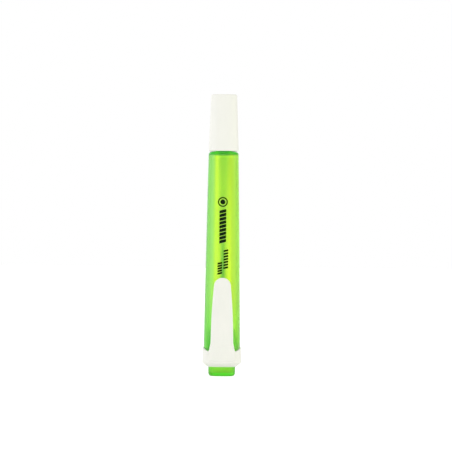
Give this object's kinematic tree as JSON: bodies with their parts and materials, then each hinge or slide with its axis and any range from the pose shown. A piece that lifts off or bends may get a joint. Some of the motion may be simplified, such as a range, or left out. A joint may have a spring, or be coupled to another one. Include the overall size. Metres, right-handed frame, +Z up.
{
  "type": "highlighter pen",
  "caption": "Flat-oval pocket highlighter: clear green barrel with a visible ink reservoir, white pull-off cap, white pocket clip on a collar, green end plug and chisel nib.",
  "frame": {"origin": "centre of the end plug's flat end face, on the pen's axis", "axes": "+Z up the pen's axis from the end plug to the cap, -Y the side that the clip is on, +X to the right as seen from the clip's side"},
  "size_m": [0.0182, 0.0176, 0.13],
  "materials": {
    "clear_green_plastic": "clear green moulded plastic, glossy",
    "white_plastic": "white moulded plastic, satin",
    "soaked_felt": "dense felt soaked in green ink",
    "soaked_fibre": "bundled fibre soaked in green ink",
    "clear_film": "thin clear film"
  },
  "bodies": {
    "pen": {"barrel": "clear_green_plastic", "end_plug": "clear_green_plastic", "clip_collar": "white_plastic", "nib_holder": "clear_green_plastic", "nib": "soaked_felt", "ink_reservoir": "soaked_fibre", "reservoir_film": "clear_film"},
    "clip": {"clip_arm": "white_plastic"},
    "cap": {"cap": "white_plastic", "cap_liner": "white_plastic"}
  },
  "joints": [
    {"name": "cap_pull", "type": "slide", "parent": "pen", "child": "cap", "axis": [0, 0, 1], "range_m": [0, 0.03]},
    {"name": "clip_flex", "type": "hinge", "parent": "pen", "child": "clip", "pos_m": [0, -0.00899, 0.01405], "axis": [1, 0, 0], "range_deg": [0, 7], "stiffness_Nm_per_rad": 0.45}
  ]
}
